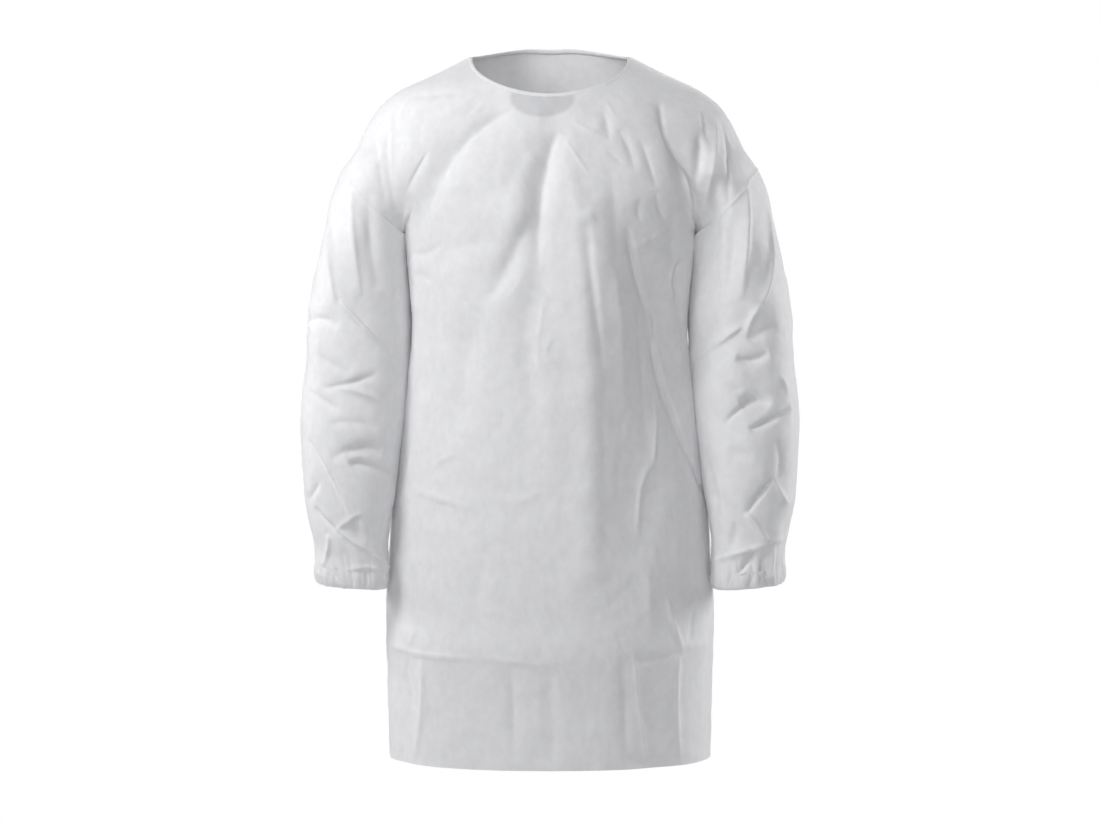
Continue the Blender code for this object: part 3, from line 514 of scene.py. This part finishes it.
# Below a pressed line round the skirt the cloth hangs inwards a little, to the front and the back.
HANG_HEIGHTS = (-0.910, -0.755, -0.745, -0.600)
HANGS_IN = (0.014, 0.0045, 0.0040, 0.0)
push += np.interp(points[:, 2], HANG_HEIGHTS, HANGS_IN) * in_piece[PANELS].any(axis=0) * normals[:, 1] ** 2
on_seam = in_piece[PANELS_AND_SLEEVES].sum(axis=0) > 1
SEAM_WELT = 0.0008
push[on_seam] -= SEAM_WELT
points -= normals * push[:, None]
whole_mesh.vertices.foreach_set("co", points.ravel())
sewn.free()

# The neck edge is let out into the fold of its binding.
INTO_BINDING = 0.0024
BELOW_NECK_EDGE = -0.07
edging = bmesh.new()
edging.from_mesh(whole_mesh)
for vert in edging.verts:
    if vert.is_boundary and vert.co.z > BELOW_NECK_EDGE:
        inner = [edge.other_vert(vert).co for edge in vert.link_edges if not edge.is_boundary]
        away = vert.co - sum(inner, Vector()) / len(inner)
        vert.co += away.normalized() * INTO_BINDING
edging.to_mesh(whole_mesh)
edging.free()

# Its finish is a matt spunbond: cloudy where its fibres lie thicker, with a fine grain of bonded dots, and
# thin enough to let a little light through.
CLOTH_WHITE = (0.86, 0.86, 0.875)
DOT_PITCH = 0.0019
LIGHT_THROUGH = 0.10


def nonwoven(name, colour):
    """Spunbonded cloth: clouded colour, a grain of bonded dots, and a soft rumple too fine for its mesh."""
    material = bpy.data.materials.new(name)
    material.use_nodes = True
    nodes, links = material.node_tree.nodes, material.node_tree.links
    shader = nodes["Principled BSDF"]
    shader.inputs["Roughness"].default_value = 0.66
    shader.inputs["Specular IOR Level"].default_value = 0.25
    shader.inputs["Sheen Weight"].default_value = 0.35
    shader.inputs["Sheen Roughness"].default_value = 0.45
    place = nodes.new("ShaderNodeTexCoord")
    cloud = nodes.new("ShaderNodeTexNoise")
    cloud.inputs["Scale"].default_value = 70
    cloud.inputs["Detail"].default_value = 8
    cloud.inputs["Roughness"].default_value = 0.62
    stretch = nodes.new("ShaderNodeMapping")
    stretch.inputs["Scale"].default_value = (1.6, 1.6, 1.0)
    links.new(place.outputs["Object"], stretch.inputs["Vector"])
    links.new(stretch.outputs["Vector"], cloud.inputs["Vector"])
    tone = nodes.new("ShaderNodeValToRGB")
    tone.color_ramp.elements[0].position = 0.30
    tone.color_ramp.elements[0].color = (*[value * 0.955 for value in colour], 1)
    tone.color_ramp.elements[1].position = 0.70
    tone.color_ramp.elements[1].color = (*[min(value * 1.03, 0.92) for value in colour], 1)
    links.new(cloud.outputs["Fac"], tone.inputs["Fac"])
    # Painted shade: the colour is multiplied darker in the marked oval under the front of the neck.
    painted_neck_shade = nodes.new("ShaderNodeAttribute")
    painted_neck_shade.attribute_name = "painted_neck_shade"
    deeper = nodes.new("ShaderNodeMix")
    deeper.data_type = "RGBA"
    deeper.blend_type = "MULTIPLY"
    deeper.inputs[7].default_value = (0.80, 0.80, 0.81, 1)
    links.new(painted_neck_shade.outputs["Fac"], deeper.inputs[0])
    links.new(tone.outputs["Color"], deeper.inputs[6])
    links.new(deeper.outputs[2], shader.inputs["Base Color"])
    dots = nodes.new("ShaderNodeTexVoronoi")
    dots.inputs["Scale"].default_value = 1 / DOT_PITCH
    dots.inputs["Randomness"].default_value = 0.12
    dots.voronoi_dimensions = "2D"
    links.new(place.outputs["UV"], dots.inputs["Vector"])
    press_in = nodes.new("ShaderNodeBump")
    press_in.inputs["Distance"].default_value = 0.00006
    press_in.inputs["Strength"].default_value = 0.6
    links.new(dots.outputs["Distance"], press_in.inputs["Height"])
    rumple = nodes.new("ShaderNodeTexNoise")
    rumple.inputs["Scale"].default_value = 120
    rumple.inputs["Detail"].default_value = 5
    links.new(place.outputs["Object"], rumple.inputs["Vector"])
    loft = nodes.new("ShaderNodeBump")
    loft.inputs["Distance"].default_value = 0.0004
    loft.inputs["Strength"].default_value = 0.5
    links.new(rumple.outputs["Fac"], loft.inputs["Height"])
    links.new(press_in.outputs["Normal"], loft.inputs["Normal"])
    links.new(loft.outputs["Normal"], shader.inputs["Normal"])
    through = nodes.new("ShaderNodeBsdfTranslucent")
    links.new(deeper.outputs[2], through.inputs["Color"])
    links.new(loft.outputs["Normal"], through.inputs["Normal"])
    thin = nodes.new("ShaderNodeMixShader")
    thin.inputs["Fac"].default_value = LIGHT_THROUGH
    links.new(shader.outputs["BSDF"], thin.inputs[1])
    links.new(through.outputs["BSDF"], thin.inputs[2])
    links.new(thin.outputs["Shader"], nodes["Material Output"].inputs["Surface"])
    return material


cloth_white = nonwoven("spunbond_white", CLOTH_WHITE)

# Each piece is cut out of the sewn surface along its seams.
# Painted shade: an oval under the front of the neck, cut off by the neck, is painted darker into the cloth's
# colour.
PAINTED_SHADE_X, PAINTED_SHADE_Z = -0.0096, -0.054
PAINTED_SHADE_ACROSS, PAINTED_SHADE_DOWN = 0.043, 0.026
PAINTED_SHADE_EDGE = 0.14
# The dots follow the cloth round the trunk, taken as an oval, and round each sleeve.
TRUNK_RADIUS, TRUNK_ACROSS, TRUNK_DEEP = 0.19, 0.195, 0.138
SLEEVE_RADIUS, SLEEVE_X, SLEEVE_Y = 0.064, 0.25, -0.03
for number, node in enumerate(CLOTH_PIECES):
    cut = bmesh.new()
    cut.from_mesh(whole_mesh)
    bmesh.ops.delete(cut, geom=[face for face in cut.faces if face.material_index != number], context="FACES")
    along = cut.loops.layers.uv.new("cloth")
    patch = cut.verts.layers.float.new("painted_neck_shade")
    for vert in cut.verts:
        x, y, z = vert.co
        arc = math.hypot((x - PAINTED_SHADE_X) / PAINTED_SHADE_ACROSS, (z - PAINTED_SHADE_Z) / PAINTED_SHADE_DOWN)
        vert[patch] = min(max((1 - arc) / PAINTED_SHADE_EDGE, 0), 1) if node == "front" and y < 0 else 0.0
    for face in cut.faces:
        face.material_index = 0
        face.smooth = True
        for loop in face.loops:
            x, y, z = loop.vert.co
            if node in ("front", "back"):
                around = TRUNK_RADIUS * math.atan2(x / TRUNK_ACROSS, abs(y) / TRUNK_DEEP + 1e-6)
            else:
                around = SLEEVE_RADIUS * math.atan2(y - SLEEVE_Y, abs(x) - SLEEVE_X)
            loop[along].uv = (around, z)
    mesh = bpy.data.meshes.new(node + "_cloth")
    cut.to_mesh(mesh)
    cut.free()
    piece = bpy.data.objects.new(node + "_cloth", mesh)
    bpy.context.scene.collection.objects.link(piece)
    mesh.materials.clear()
    mesh.materials.append(cloth_white)
    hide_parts(node)
    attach(piece, "root")
bpy.data.meshes.remove(whole_mesh)


# Neck binding: a narrow strip of the same cloth, folded over the neck edge and sewn through. It is the
# solid's own form, rounded.
BINDING_WHITE = (0.89, 0.89, 0.90)
binding = bmesh.new()
binding.from_mesh(frame["nodes"]["neck_binding"].data)
bmesh.ops.remove_doubles(binding, verts=binding.verts, dist=SAME_POINT)
bmesh.ops.join_triangles(
    binding, faces=binding.faces, angle_face_threshold=NEARLY_FLAT, angle_shape_threshold=NEARLY_FLAT
)
for face in binding.faces:
    face.smooth = True
strip = bpy.data.meshes.new("neck_binding_strip")
binding.to_mesh(strip)
binding.free()
neck_strip = bpy.data.objects.new("neck_binding_strip", strip)
bpy.context.scene.collection.objects.link(neck_strip)
rounded = neck_strip.modifiers.new("rounded", "SUBSURF")
rounded.levels = rounded.render_levels = 2
strip.materials.append(nonwoven("binding_white", BINDING_WHITE))
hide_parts("neck_binding")
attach(neck_strip, "root")


# Floor, light and camera of a plain white studio. The gown hangs over a pale round floor, lit by five soft
# boxes and by the white room itself.
FLOOR_DROP = 0.85
FLOOR_RADIUS = 2.4
below = (0, 0, cad_box[0].z - FLOOR_DROP)
bpy.ops.mesh.primitive_circle_add(radius=FLOOR_RADIUS, vertices=96, fill_type="NGON", location=below)
floor = bpy.context.object
floor.name = "studio_floor"
paper = bpy.data.materials.new("floor_white")
paper.use_nodes = True
paper.node_tree.nodes["Principled BSDF"].inputs["Base Color"].default_value = (0.88, 0.88, 0.88, 1)
paper.node_tree.nodes["Principled BSDF"].inputs["Roughness"].default_value = 0.9
floor.data.materials.append(paper)

world = bpy.context.scene.world or bpy.data.worlds.new("studio")
bpy.context.scene.world = world
world.use_nodes = True
sky = world.node_tree
sky.nodes.clear()
seen = sky.nodes.new("ShaderNodeBackground")
seen.inputs["Color"].default_value = (1, 1, 1, 1)
seen.inputs["Strength"].default_value = 1.0
cast_on = sky.nodes.new("ShaderNodeBackground")
cast_on.inputs["Color"].default_value = (0.97, 0.98, 1, 1)
cast_on.inputs["Strength"].default_value = 0.20
which = sky.nodes.new("ShaderNodeLightPath")
choose = sky.nodes.new("ShaderNodeMixShader")
out = sky.nodes.new("ShaderNodeOutputWorld")
sky.links.new(which.outputs["Is Camera Ray"], choose.inputs["Fac"])
sky.links.new(cast_on.outputs["Background"], choose.inputs[1])
sky.links.new(seen.outputs["Background"], choose.inputs[2])
sky.links.new(choose.outputs["Shader"], out.inputs["Surface"])

# Each lamp is a round soft box turned to the gown: its turn from the front and its rise are in degrees.
Lamp = namedtuple("Lamp", "name turn rise distance power")
LAMPS = (
    Lamp("key", -54, 34, 1.9, 19),
    Lamp("left_side", -112, 10, 2.4, 21),
    Lamp("right_side", 108, 10, 2.4, 33),
    Lamp("front_fill", 0, 20, 2.6, 18),
    Lamp("back_fill", 165, 25, 2.6, 7),
)
SOFT_BOX = 0.8
AIM = Vector((0, 0, -0.40))
for lamp in LAMPS:
    light = bpy.data.lights.new(lamp.name, "AREA")
    light.shape = "DISK"
    light.size = SOFT_BOX
    light.energy = lamp.power
    stand = bpy.data.objects.new(lamp.name, light)
    turn, rise = math.radians(lamp.turn), math.radians(lamp.rise)
    towards = Vector((math.sin(turn) * math.cos(rise), -math.cos(turn) * math.cos(rise), math.sin(rise)))
    stand.location = AIM + towards * lamp.distance
    stand.rotation_euler = (-towards).to_track_quat("-Z", "Y").to_euler()
    bpy.context.scene.collection.objects.link(stand)

DISTANCE, TILT = 4.0, math.radians(2.75)
LOOKS_AT_Z = -0.451
lens = bpy.data.cameras.new("camera")
lens.lens = 102.1
view = bpy.data.objects.new("camera", lens)
view.location = (0, -DISTANCE * math.cos(TILT), LOOKS_AT_Z + DISTANCE * math.sin(TILT))
view.rotation_euler = (math.pi / 2 - TILT, 0, 0)
bpy.context.scene.collection.objects.link(view)
bpy.context.scene.camera = view
bpy.context.scene.view_settings.view_transform = "Standard"
